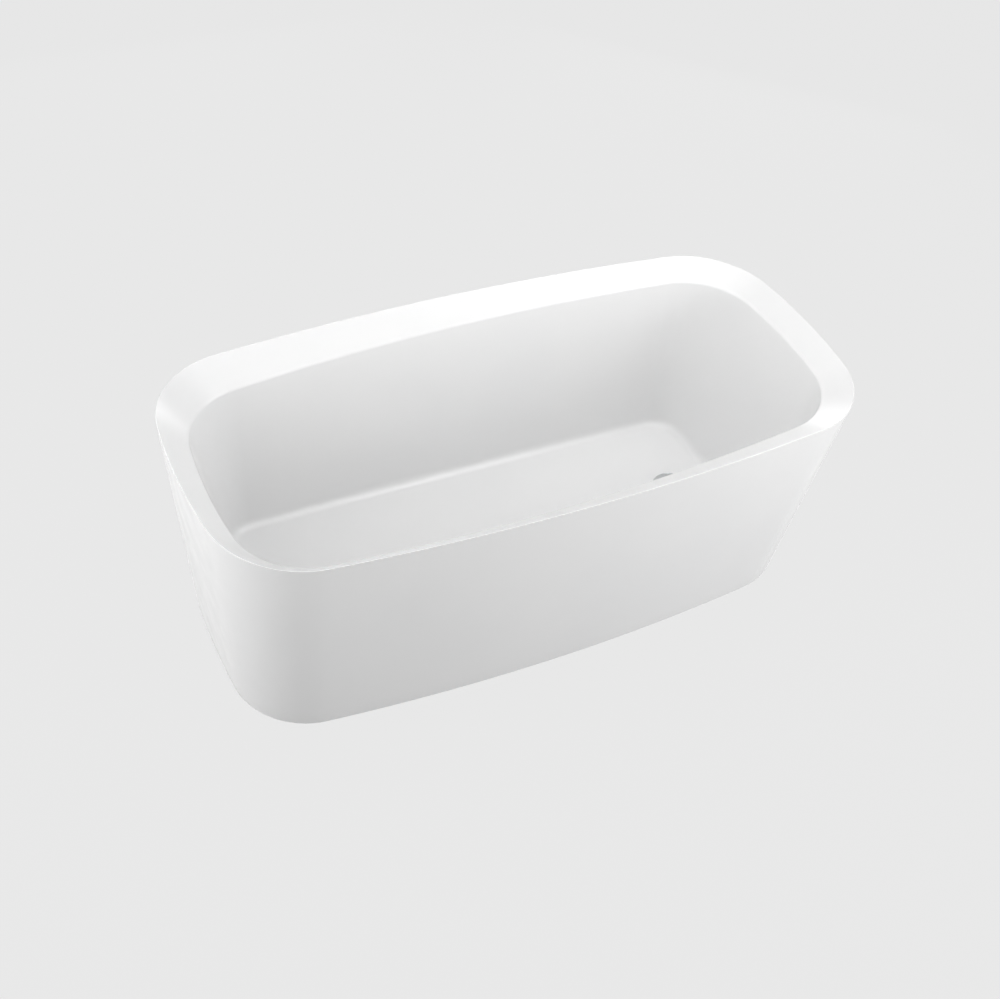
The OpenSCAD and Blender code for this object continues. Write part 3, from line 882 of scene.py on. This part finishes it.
@dataclass(frozen=True)
class DoubleWall:
    """The basin, the skirt and the glass fibre laid up behind them."""

    rim: Outline = Outline(0.800, 0.3865, 0.0087, 0.0294, 0.215, 0.585)
    foot: Outline = Outline(0.737, 0.3215, 0.003, 0.029, 0.183, 0.0)
    inner: Outline = Outline(0.7363, 0.3265, 0.0071, 0.0317, 0.1735, 0.5364, 0.023)
    floor: Outline = Outline(0.6343, 0.2545, 0.002, 0.005, 0.070, 0.116, -0.012)
    height: float = 0.585
    lip_height: float = 0.006
    acrylic: float = 0.005
    basin_glass: float = 0.004
    skirt_glass: float = 0.003
    floor_fillet: float = 0.022
    rim_fillet: float = 0.005
    lip_fillet: float = 0.003
    skirt_gap: float = 0.0015
    turned_in: float = 0.020
    glass_drop: float = 0.030
    waste: Vector = Vector((0.5, 0, 0.108))
    recess_radius: float = 0.047
    hole_radius: float = 0.026
    glass_hole: float = 0.042
    bond: float = 0.00002
    glass_lumps: float = 0.0005
    lay_up_steps: tuple[int, int, int] = (8, 16, 24)
    crease: float = 0.0015
    recess_edge: float = 0.0012
    skirt_edge: float = 0.002

    @property
    def double(self) -> float:
        """The skirt's whole thickness."""
        return self.acrylic + self.skirt_glass

    @property
    def rim_pitch(self) -> float:
        """How steeply the rim slopes."""
        return (self.rim.height - self.inner.height) / (self.rim.half_width - self.inner.half_width)

    @property
    def rim_thickness(self) -> float:
        """The rim's thickness, measured upright."""
        return self.acrylic * math.hypot(1, self.rim_pitch)

    def skirt_at(self, z: float) -> Outline:
        """The skirt's outline at a height."""
        return self.foot.mixed(self.rim, z / self.height)

    def under_lip(self, depth: float) -> Outline:
        """The lip's slanted underside, a depth behind the skirt's face."""
        back = self.skirt_at(self.height - self.double * self.rim_pitch - self.rim_thickness)
        outer = self.skirt_at(self.height - self.lip_height)
        return outer.mixed(back.grown(-self.double), depth / self.double)

    def round_waste(self, radius: float, depth: float, toward: Ring) -> list[Vector]:
        """A circle round the waste whose points lie in line with those of an outline.

        Args:
            radius: Its radius.
            depth: How far it lies under the basin floor.
            toward: The outline's points.

        Returns:
            The circle's points.
        """
        points = []
        for point in toward:
            away = Vector((point.x - self.waste.x, point.y, 0)).normalized() * radius
            x = self.waste.x + away.x
            points.append(Vector((x, away.y, self.floor.height + self.floor.slope * x - depth)))
        return points

    def level(self, ring: Ring, z: float) -> list[Vector]:
        """A ring's points brought to one height."""
        return [Vector((point.x, point.y, z)) for point in ring]

    def pan(self, inner_ring: Ring, outer_ring: Ring, shares: Sequence[float]) -> list[Ring]:
        """Rings that spread from the waste to the edge of the basin floor.

        Args:
            inner_ring: The ring at the waste.
            outer_ring: The ring at the floor's edge.
            shares: How far each new ring has spread, from 0 to 1.

        Returns:
            The rings.
        """
        return [[a.lerp(b, t) for a, b in zip(inner_ring, outer_ring)] for t in shares]

    def basin_face(self) -> list[Ring]:
        """The basin's own face, from the waste hole up to the lip."""
        edge = self.floor.grown(-self.floor_fillet)
        flat = edge.grown(-self.crease).ring()
        seat = self.waste.z
        recess = self.recess_radius
        hole = self.round_waste(self.hole_radius, 0, flat)
        pool = self.round_waste(recess - 0.0004, 0, flat)
        rings: list[Ring] = [
            self.level(hole, seat - 0.0005),
            self.level(self.round_waste(self.hole_radius + 0.0005, 0, flat), seat),
            self.level(pool, seat),
            self.level(self.round_waste(recess, 0, flat), seat + 0.0004),
        ]
        r = self.recess_edge
        rings += [
            self.round_waste(recess + r - r * math.cos(t), r - r * math.sin(t), flat)
            for t in (0.0, 0.4, 0.8, 1.2, math.pi / 2)
        ]
        lip = self.round_waste(recess + 0.0022, 0, flat)
        rings += [lip, *self.pan(lip, flat, (0.04, 0.12, 0.25, 0.45, 0.7, 0.9, 1.0))]
        walls = rounding(edge, self.floor, self.floor.toward(self.inner, self.floor_fillet), 14)
        low = self.floor.toward(self.inner, self.floor_fillet + 0.002)
        high = self.inner.toward(self.floor, self.rim_fillet + self.crease)
        walls += between(low, high, [step / 12 for step in range(13)])
        walls += rounding(
            self.inner.toward(self.floor, self.rim_fillet),
            self.inner,
            self.inner.toward(self.rim, self.rim_fillet),
            9,
        )
        inside = self.inner.toward(self.rim, self.rim_fillet + self.crease)
        outside = self.rim.toward(self.inner, self.lip_fillet + 0.001)
        walls += between(inside, outside, (0, 0.25, 0.5, 0.75, 1))
        walls += rounding(
            self.rim.toward(self.inner, self.lip_fillet),
            self.rim,
            self.rim.toward(self.foot, self.lip_fillet),
            14,
        )
        return rings + [wall.ring() for wall in walls]

    def basin_back(self, depth: float) -> list[Outline]:
        """The basin's back, a depth behind its face, from the top of the glass fibre down."""
        lean = (self.inner.half_width - self.floor.half_width) / (self.inner.height - self.floor.height)
        low = self.floor.grown(depth * (1 - lean), -depth)
        high = self.inner.grown(depth)
        top, foot = high.toward(low, self.glass_drop), high.mixed(low, 0.9)
        walls = between(top, foot, [step / 6 for step in range(6)])
        return walls + rounding(
            low.toward(high, self.floor_fillet), low, self.floor.grown(-self.floor_fillet, -depth), 8
        )

    def basin(self) -> bpy.types.Object:
        """The acrylic basin with its rim, lip and waste hole, as one closed shell."""
        back = [
            *(self.under_lip(depth) for depth in (0, self.acrylic, self.double)),
            self.inner.grown(self.acrylic, self.acrylic * self.rim_pitch - self.rim_thickness),
            *self.basin_back(self.acrylic),
        ]
        under = self.round_waste(self.hole_radius, self.acrylic, back[-1].ring())
        rings = [*self.basin_face(), *(outline.ring() for outline in back), under]
        return loft("basin", rings, looped=True)

    def skirt(self) -> bpy.types.Object:
        """The acrylic skirt with its lower edge turned in."""
        top = self.under_lip(0)
        low = self.skirt_at(self.skirt_gap)
        above = self.skirt_at(self.skirt_gap + self.acrylic)
        inward = -self.acrylic - self.turned_in
        edge = self.skirt_edge
        outline = [self.under_lip(self.acrylic), *between(top, low, [step / 14 for step in range(14)])]
        outline += rounding(low.toward(top, edge), low, low.grown(-edge), 4)
        outline += rounding(low.grown(inward + edge), low.grown(inward), low.grown(inward, edge), 3)
        outline += rounding(
            above.grown(inward, -edge), above.grown(inward), above.grown(inward + edge), 3
        )
        outline += [above.grown(-self.acrylic), above.grown(-self.acrylic).mixed(outline[0], 0.5)]
        return loft("skirt", [part.ring() for part in outline], looped=True)

    def lumpy(self, ring: Ring, outward: float) -> list[Vector]:
        """A ring of hand-laid glass fibre, pushed in and out a little.

        Args:
            ring: The even ring.
            outward: The side that the lumps stand on, 1 away from the tub's middle and -1 to it.

        Returns:
            The uneven ring.
        """
        points = []
        for point in ring:
            push = abs(noise.noise(point * 14)) + 0.5 * abs(noise.noise(point * 45))
            side = Vector((point.x / 0.75, point.y / 0.35, 0)).normalized()
            points.append(point + side * push * self.glass_lumps * outward)
        return points

    def basin_lay_up(self) -> bpy.types.Object:
        """The glass fibre laid over the back of the basin."""
        bond = self.acrylic + self.bond
        back = self.acrylic + self.basin_glass
        near = [outline.ring(*self.lay_up_steps) for outline in reversed(self.basin_back(bond))]
        far = [outline.ring(*self.lay_up_steps) for outline in self.basin_back(back)]
        hole_near = self.round_waste(self.glass_hole, bond, near[0])
        hole_far = self.round_waste(self.glass_hole, back, far[-1])
        rings = [hole_near, *near, *(self.lumpy(ring, 1) for ring in far), hole_far]
        return loft("basin_lay_up", rings, looped=True)

    def skirt_lay_up(self) -> bpy.types.Object:
        """The glass fibre laid inside the skirt."""
        low = self.skirt_at(self.skirt_gap + self.acrylic)
        shares = [step / 16 for step in range(17)]
        face = between(self.under_lip(self.acrylic), low.grown(-self.acrylic), shares)
        free = between(low.grown(-self.double), self.under_lip(self.double), shares)
        rings = [part.ring(*self.lay_up_steps) for part in face]
        rings += [self.lumpy(part.ring(*self.lay_up_steps), -1) for part in free[:-1]]
        return loft("skirt_lay_up", [*rings, free[-1].ring(*self.lay_up_steps)], looped=True)

    def build(self) -> None:
        """Builds the four layers and settles them in place of their CAD nodes."""
        layers = (
            (self.basin(), Surface.ACRYLIC, "basin_shell"),
            (self.skirt(), Surface.ACRYLIC, "outer_skirt"),
            (self.basin_lay_up(), Surface.GLASS_FIBRE, "basin_glass_fibre"),
            (self.skirt_lay_up(), Surface.GLASS_FIBRE, "skirt_glass_fibre"),
        )
        for piece, surface, node in layers:
            finish_smooth(piece)
            settle(piece, surface, "root", node)


# --- Carried-over hardware -----------------------------------------------------------------


@dataclass(frozen=True)
class Part:
    """A CAD node carried over with its edges rounded.

    Attributes:
        node: The CAD node.
        surface: Its finish.
        edge: How wide its rounded edges are.
        body: The body that it rides on.
    """

    node: str
    surface: Surface
    edge: float
    body: str = "root"

    def build(self) -> bpy.types.Object:
        """Makes the softened copy and settles it in place of the node."""
        piece = merged_copy(self.node, f"{self.node}_piece")
        bevelled(piece, self.edge)
        finish_smooth(piece)
        return settle(piece, self.surface, self.body, self.node)


@dataclass(frozen=True)
class Carriage:
    """The board, the welded frame, its brackets and its screws."""

    tubes: tuple[str, ...] = (
        "frame_rail_left",
        "frame_rail_right",
        "cross_tube_1",
        "cross_tube_2",
        "cross_tube_3",
        "cross_tube_4",
    )
    brackets: tuple[int, ...] = (1, 2, 3, 4, 5, 6)
    tube_side: float = 0.030
    tube_edge: float = 0.0022
    weld_radius: float = 0.0022
    weld_inset: float = 0.0015
    weld_stand: float = 0.0006
    ripples: int = 9
    screw_head: float = 0.0055
    head_height: float = 0.003
    socket: float = 0.002

    def parts(self) -> list[Part]:
        """The nodes that are carried over."""
        parts = [Part("base_board", Surface.BOARD, 0.0008)]
        parts += [Part(node, Surface.FRAME_PAINT, self.tube_edge) for node in self.tubes]
        parts += [Part("rail_end_caps", Surface.BLACK_PLASTIC, 0.001)]
        parts += [Part(f"skirt_bracket_{b}", Surface.ZINC_STEEL, 0.0006) for b in self.brackets]
        return parts

    def bead(self, length: float) -> bpy.types.Object:
        """One upright weld bead, rippled along its length.

        Args:
            length: Its length.

        Returns:
            The bead, its foot at the origin.
        """
        rings = []
        steps = self.ripples * 4
        for step in range(steps + 1):
            along = step / steps
            end = math.sin(math.pi * min(max(along, 0.02), 0.98)) ** 0.3
            ripple = 1 + 0.16 * abs(math.sin(math.pi * self.ripples * along))
            wander = 0.0003 * math.sin(7 * along)
            rings.append(
                round_ring(Vector((wander, 0, length * along)), self.weld_radius * end * ripple, 10)
            )
        return loft("weld_bead", rings)

    def welds(self) -> None:
        """Lays a bead down both sides and under the joint at each end of each cross tube."""
        bead = self.bead(self.tube_side - 2 * self.weld_inset)
        half = self.tube_side / 2
        beads = []
        for node in self.tubes[2:]:
            low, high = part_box(node)
            x = (low.x + high.x) / 2
            for y, side in ((low.y, 1), (high.y, -1)):
                for dx in (-half, half):
                    spot = Vector((x + dx, y + side * self.weld_stand, low.z + self.weld_inset))
                    beads.append(copied(bead, "weld", spot))
                level = Matrix.Rotation(math.pi / 2, 4, "Y")
                spot = Vector((x - half + self.weld_inset, y + side * self.weld_stand, low.z))
                beads.append(copied(bead, "weld", spot, level))
        bpy.data.objects.remove(bead)
        whole = joined(beads, "frame_welds")
        finish_smooth(whole, 50)
        settle(whole, Surface.FRAME_PAINT, "root")

    def screw(self, shank: float, length: float) -> bpy.types.Object:
        """One pan-head screw that points up, with a hexagon socket.

        Args:
            shank: The shank's radius.
            length: The shank's length above the head.

        Returns:
            The screw, with the top of its head at the origin.
        """
        count, head, socket = 24, self.screw_head, self.socket
        outline = [
            (socket, -0.0014, 6),
            (socket, -self.head_height, 6),
            (head - 0.0016, -self.head_height, 0),
            (head - 0.0009, -0.0028, 0),
            (head - 0.0002, -0.001, 0),
            (head, -0.0003, 0),
            (head - 0.0002, 0.0, 0),
            (shank, 0.0, 0),
            (shank, length - 0.001, 0),
            (shank * 0.7, length, 0),
        ]
        rings = [round_ring(Vector((0, 0, z)), r, count, sides) for r, z, sides in outline]
        return loft("screw", rings)

    def screws(self, node: str, shank: float) -> None:
        """Puts a detailed screw in place of each of a node's plain ones.

        Args:
            node: The CAD node that holds them.
            shank: The radius of their shanks.
        """
        low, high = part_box(node)
        seat = low.z + self.head_height
        model = self.screw(shank, high.z - seat)
        copies = [copied(model, "screw_copy", Vector((m.x, m.y, seat))) for m in islands(node)]
        bpy.data.objects.remove(model)
        whole = joined(copies, f"{node}_piece")
        finish_smooth(whole, 30)
        settle(whole, Surface.ZINC_STEEL, "root", node)

    def build(self) -> None:
        """Builds the board, the frame, the welds and the screws."""
        for part in self.parts():
            part.build()
        self.welds()
        self.screws("board_screws", 0.0022)
        self.screws("bracket_screws", 0.0025)


@dataclass(frozen=True)
class Feet:
    """Four levelling feet: pads, threaded studs and their nuts."""

    count: int = 4
    thread_pitch: float = 0.00175
    thread_depth: float = 0.0009
    stud_radius: float = 0.006
    facets: int = 28
    rings_per_turn: int = 6
    pad_ribs: int = 12

    def thread(self, centre: Vector, low: float, high: float) -> bpy.types.Object:
        """A threaded rod with chamfered ends.

        Args:
            centre: The foot of its axis.
            low: Where the rod starts.
            high: Where it ends.

        Returns:
            The rod.
        """
        step = self.thread_pitch / self.rings_per_turn
        count = round((high - low) / step)
        rings = []
        for index in range(count + 1):
            z = low + (high - low) * index / count
            chamfer = min((z - low), (high - z)) + self.stud_radius - 0.0014
            ring = []
            for facet in range(self.facets):
                share = facet / self.facets
                phase = (z / self.thread_pitch - share) % 1.0
                flank = min(1.0, max(0.0, abs(phase - 0.5) * 2.6 - 0.3))
                radius = min(self.stud_radius - self.thread_depth * (1 - flank), chamfer)
                turn = 2 * math.pi * share
                ring.append(centre + Vector((radius * math.cos(turn), radius * math.sin(turn), z)))
            rings.append(ring)
        return loft("thread", rings)

    def stud(self, foot: int) -> None:
        """Builds one stud with its hexagon, in place of its plain cylinder."""
        low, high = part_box(f"foot_stud_{foot}")
        axis = upright_axis(low, high)
        hexagon = [
            (0.0079, 0.0132, 0),
            (0.0087, 0.0134, 0),
            (0.0088, 0.0138, 6),
            (0.0088, 0.0186, 6),
            (0.0087, 0.0190, 0),
            (0.0079, 0.0192, 0),
        ]
        rings = [round_ring(axis + Vector((0, 0, z)), r, 48, sides) for r, z, sides in hexagon]
        neck = turned("neck", axis, [(0.0052, low.z), (0.0058, low.z + 0.0006), (0.0058, 0.0136)], 48)
        parts = [self.thread(axis, 0.0185, high.z), loft("hexagon", rings), neck]
        whole = joined(parts, f"foot_stud_{foot}_piece")
        finish_smooth(whole, 38)
        settle(whole, Surface.ZINC_STEEL, f"stud_{foot}", f"foot_stud_{foot}")

    def pad(self, foot: int) -> None:
        """Builds one pad with a rounded edge and a ring of stiffening ribs."""
        low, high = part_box(f"foot_pad_{foot}")
        axis = upright_axis(low, high)
        radius = (high.x - low.x) / 2
        profile = [
            (0.0150, 0.0008),
            (0.0158, 0.0),
            *arc((radius - 0.001, 0.001), 0.001, -90, 0),
            *arc((radius - 0.0015, 0.0035), 0.0015, 0, 62),
            (0.0160, 0.0078),
            (0.0132, 0.0086),
            *arc((0.0115, high.z - 0.001), 0.001, 0, 90),
            (0.00665, high.z),
            (0.00605, high.z - 0.0006),
            (0.00605, 0.0038),
        ]
        pad = turned("pad", axis, profile)
        ribs = []
        for index in range(self.pad_ribs):
            deselect()
            bpy.ops.mesh.primitive_cube_add(size=1)
            rib = bpy.context.object
            rib.data.transform(Matrix.Diagonal((0.009, 0.0014, 0.005, 1)))
            for corner in rib.data.vertices:
                if corner.co.x > 0 and corner.co.z > 0:
                    corner.co.z = -0.0010
            bevelled(rib, 0.0003)
            turn = Matrix.Rotation(2 * math.pi * index / self.pad_ribs, 4, "Z")
            rib.data.transform(Matrix.Translation(axis) @ turn @ Matrix.Translation((0.0165, 0, 0.0085)))
            ribs.append(rib)
        whole = joined([pad, *ribs], f"foot_pad_{foot}_piece")
        finish_smooth(whole)
        settle(whole, Surface.BLACK_PLASTIC, f"foot_{foot}", f"foot_pad_{foot}")

    def build(self) -> None:
        """Builds the nuts, the pads and the studs."""
        Part("foot_weld_nuts", Surface.ZINC_STEEL, 0.0006).build()
        Part("foot_lock_nuts", Surface.ZINC_STEEL, 0.0006).build()
        for foot in range(1, self.count + 1):
            self.pad(foot)
            self.stud(foot)


@dataclass(frozen=True)
class Waste:
    """The click-clack waste in the basin floor and the trap under it."""

    cover_radius: float = 0.050
    cover_edge: float = 0.003
    cover_rise: float = 0.0035
    edge_radius: float = 0.0009

    def parts(self) -> list[Part]:
        """The nodes that are carried over."""
        return [
            Part("waste_flange", Surface.CHROME, 0.0005),
            Part("flange_seal", Surface.RUBBER, 0.0002),
            Part("tail_seal", Surface.RUBBER, 0.0006),
            Part("waste_back_nut", Surface.BLACK_PLASTIC, 0.0006),
            Part("click_cartridge", Surface.BRASS, 0.0004),
            Part("plug_seal", Surface.RUBBER, 0.0002, "plug"),
            Part("plug_stem", Surface.BRASS, 0.0004, "plug"),
            Part("trap_body", Surface.TRAP_PLASTIC, 0.0008),
            Part("trap_union_nut", Surface.TRAP_PLASTIC, 0.0006),
            Part("trap_seal", Surface.RUBBER, 0.0004),
            Part("outlet_nut", Surface.TRAP_PLASTIC, 0.0006),
            Part("outlet_seal", Surface.RUBBER, 0.0004),
        ]

    def cover(self) -> None:
        """Turns the domed cover, with its rounded edge and a shallow step underneath."""
        low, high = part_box("plug_cover")
        axis = upright_axis(low, high)
        r, e, z = self.cover_radius, self.edge_radius, low.z
        dome = (r * r + self.cover_rise**2) / (2 * self.cover_rise)
        top = z + self.cover_edge + self.cover_rise
        crown = [
            (dome * math.sin(t), top - dome + dome * math.cos(t))
            for t in [math.asin((r - 0.0014) / dome) * (1 - step / 16) for step in range(16)]
        ]
        profile = [
            (0.004, z),
            (0.038, z),
            (0.0385, z + 0.0006),
            (0.042, z + 0.0006),
            (0.0425, z),
            *arc((r - e, z + e), e, -90, 0),
            *arc((r - e, z + self.cover_edge - e * 0.2), e, 0, 80),
            *crown,
            (0.0004, top),
        ]
        piece = turned("plug_cover_piece", axis, profile, 144)
        finish_smooth(piece)
        settle(piece, Surface.CHROME, "plug", "plug_cover")

    def build(self) -> None:
        """Builds the waste and the trap."""
        for part in self.parts():
            part.build()
        self.cover()


# --- The studio ----------------------------------------------------------------------------


@dataclass(frozen=True)
class Lamp:
    """A soft rectangular lamp.

    Attributes:
        name: Its name.
        place: Where it hangs.
        aim: The point that it faces.
        size: Its two sides.
        power: Its power, in watts.
    """

    name: str
    place: Vector
    aim: Vector
    size: tuple[float, float]
    power: float

    def hang(self) -> None:
        """Hangs the lamp."""
        deselect()
        bpy.ops.object.light_add(type="AREA", location=self.place)
        lamp = bpy.context.object
        lamp.name = self.name
        lamp.rotation_euler = (self.aim - self.place).to_track_quat("-Z", "Y").to_euler()
        lamp.data.shape = "RECTANGLE"
        lamp.data.size, lamp.data.size_y = self.size
        lamp.data.energy = self.power
        lamp.visible_camera = False


LAMP_AIM = Vector((0, 0, 0.3))
LAMP_RING = 2.8
OVERHEAD_HEIGHT = 2.9


def soft_box(azimuth: float, height: float, power: float) -> Lamp:
    """Places a large square lamp on the ring round the tub.

    Args:
        azimuth: Degrees round the tub from the front, towards the right.
        height: Degrees above the level of its aim.
        power: Its power, in watts.

    Returns:
        The lamp, facing the middle of the tub.
    """
    turn, lift = math.radians(azimuth), math.radians(height)
    way = Vector((math.sin(turn) * math.cos(lift), -math.cos(turn) * math.cos(lift), math.sin(lift)))
    place = LAMP_AIM + way * LAMP_RING
    return Lamp(f"soft_box_{azimuth:.0f}_{height:.0f}", place, LAMP_AIM, (1.6, 1.6), power)


def overhead(name: str, x: float, y: float, power: float) -> Lamp:
    """Places a square lamp over the tub, facing down.

    Args:
        name: Its name.
        x: How far right of the tub's middle it hangs.
        y: How far behind the tub's middle it hangs.
        power: Its power, in watts.

    Returns:
        The lamp.
    """
    return Lamp(name, Vector((x, y, OVERHEAD_HEIGHT)), Vector((x, y, 0)), (1.2, 1.2), power)


@dataclass(frozen=True)
class Studio:
    """The floor, the lamps, the pale dome and the camera."""

    camera_place: Vector = Vector((-1.3603, -2.1999, 2.7261))
    yaw: float = 31.45
    pitch: float = -43.85
    roll: float = 7.53
    lens: float = 53.142
    sensor: float = 36.0
    floor_side: float = 80.0
    floor_drop: float = 0.0004
    glow: Colour = (0.807, 0.807, 0.807, 1)
    glow_share: float = 0.985
    sky: Colour = (0.80, 0.80, 0.80, 1)
    ground: Colour = (0.55, 0.55, 0.55, 1)
    lamps: tuple[Lamp, ...] = (
        soft_box(0, 12, 12),
        soft_box(0, 42, 13),
        soft_box(45, 12, 42),
        soft_box(45, 42, 13),
        soft_box(135, 12, 18),
        soft_box(180, 12, 12),
        soft_box(225, 12, 12),
        soft_box(225, 42, 8),
        soft_box(270, 12, 35),
        soft_box(270, 42, 17),
        soft_box(315, 12, 12),
        overhead("overhead_middle", 0, 0, 12),
        overhead("overhead_right", 0.9, 0, 23),
        overhead("overhead_back", 0.9, 0.8, 5),
        Lamp("bounce", Vector((0, 0, -1.6)), Vector((0, 0, 0)), (3.2, 3.2), 24),
    )

    def camera(self) -> None:
        """Stands the camera."""
        deselect()
        bpy.ops.object.camera_add(location=self.camera_place)
        camera = bpy.context.object
        camera.name = "camera"
        yaw, pitch, roll = (math.radians(a) for a in (self.yaw, self.pitch, self.roll))
        ahead = Vector((math.sin(yaw) * math.cos(pitch), math.cos(yaw) * math.cos(pitch), math.sin(pitch)))
        right = Vector((math.cos(yaw), -math.sin(yaw), 0))
        up = right.cross(ahead)
        across = right * math.cos(roll) + up * math.sin(roll)
        upward = up * math.cos(roll) - right * math.sin(roll)
        turn = Matrix((across, upward, -ahead)).transposed()
        camera.rotation_euler = turn.to_euler()
        camera.data.lens = self.lens
        camera.data.sensor_width = self.sensor
        camera.data.clip_end = 200
        bpy.context.scene.camera = camera

    def floor(self) -> None:
        """Lays the pale floor, which glows evenly and takes next to no shadow."""
        deselect()
        bpy.ops.mesh.primitive_plane_add(size=self.floor_side, location=(0, 0, -self.floor_drop))
        floor = bpy.context.object
        floor.name = "floor"
        graph = Paint("floor_finish")
        plain = graph.span(graph.cloud(1.5, 3), 0.3, 0.7)
        pale = graph.blend(plain, (0.80, 0.80, 0.80, 1), (0.79, 0.79, 0.79, 1))
        matt = graph.node("ShaderNodeBsdfDiffuse", values={"Color": pale})
        light = graph.node("ShaderNodeEmission", values={"Color": self.glow})
        graph.end(
            "ShaderNodeOutputMaterial",
            graph.node("ShaderNodeMixShader", values={0: self.glow_share, 1: matt, 2: light}),
        )
        floor.data.materials.append(graph.material)
        floor.visible_diffuse = False
        floor.visible_shadow = False

    def dome(self) -> None:
        """Hangs the pale dome, which is seen and reflected but gives no diffuse light."""
        world = bpy.data.worlds.new("studio_dome")
        bpy.context.scene.world = world
        world.use_nodes = True
        world.cycles_visibility.diffuse = False
        graph = Graph(world.node_tree)
        way = graph.node("ShaderNodeTexCoord", output="Generated")
        height = graph.node("ShaderNodeSeparateXYZ", values={0: way}, output="Z")
        share = graph.node(
            "ShaderNodeMapRange",
            {"interpolation_type": "SMOOTHSTEP"},
            {0: height, 1: -0.35, 2: 0.05, 3: 0.0, 4: 1.0},
        )
        tone = graph.node(
            "ShaderNodeMix", {"data_type": "RGBA"}, {0: share, 6: self.ground, 7: self.sky}, 2
        )
        graph.end("ShaderNodeOutputWorld", graph.node("ShaderNodeBackground", values={"Color": tone}))

    def build(self) -> None:
        """Sets the stage."""
        self.camera()
        self.floor()
        self.dome()
        for lamp in self.lamps:
            lamp.hang()
        bpy.context.scene.view_settings.view_transform = "Standard"


def main() -> None:
    """Builds the studio and the tub, one sub-assembly after another."""
    logging.basicConfig(level=logging.INFO, format="%(name)s %(message)s")
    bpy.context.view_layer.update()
    Studio().build()
    for assembly in (DoubleWall(), Carriage(), Feet(), Waste()):
        LOG.info("building %s", type(assembly).__name__)
        assembly.build()


if __name__ == "__main__":
    main()
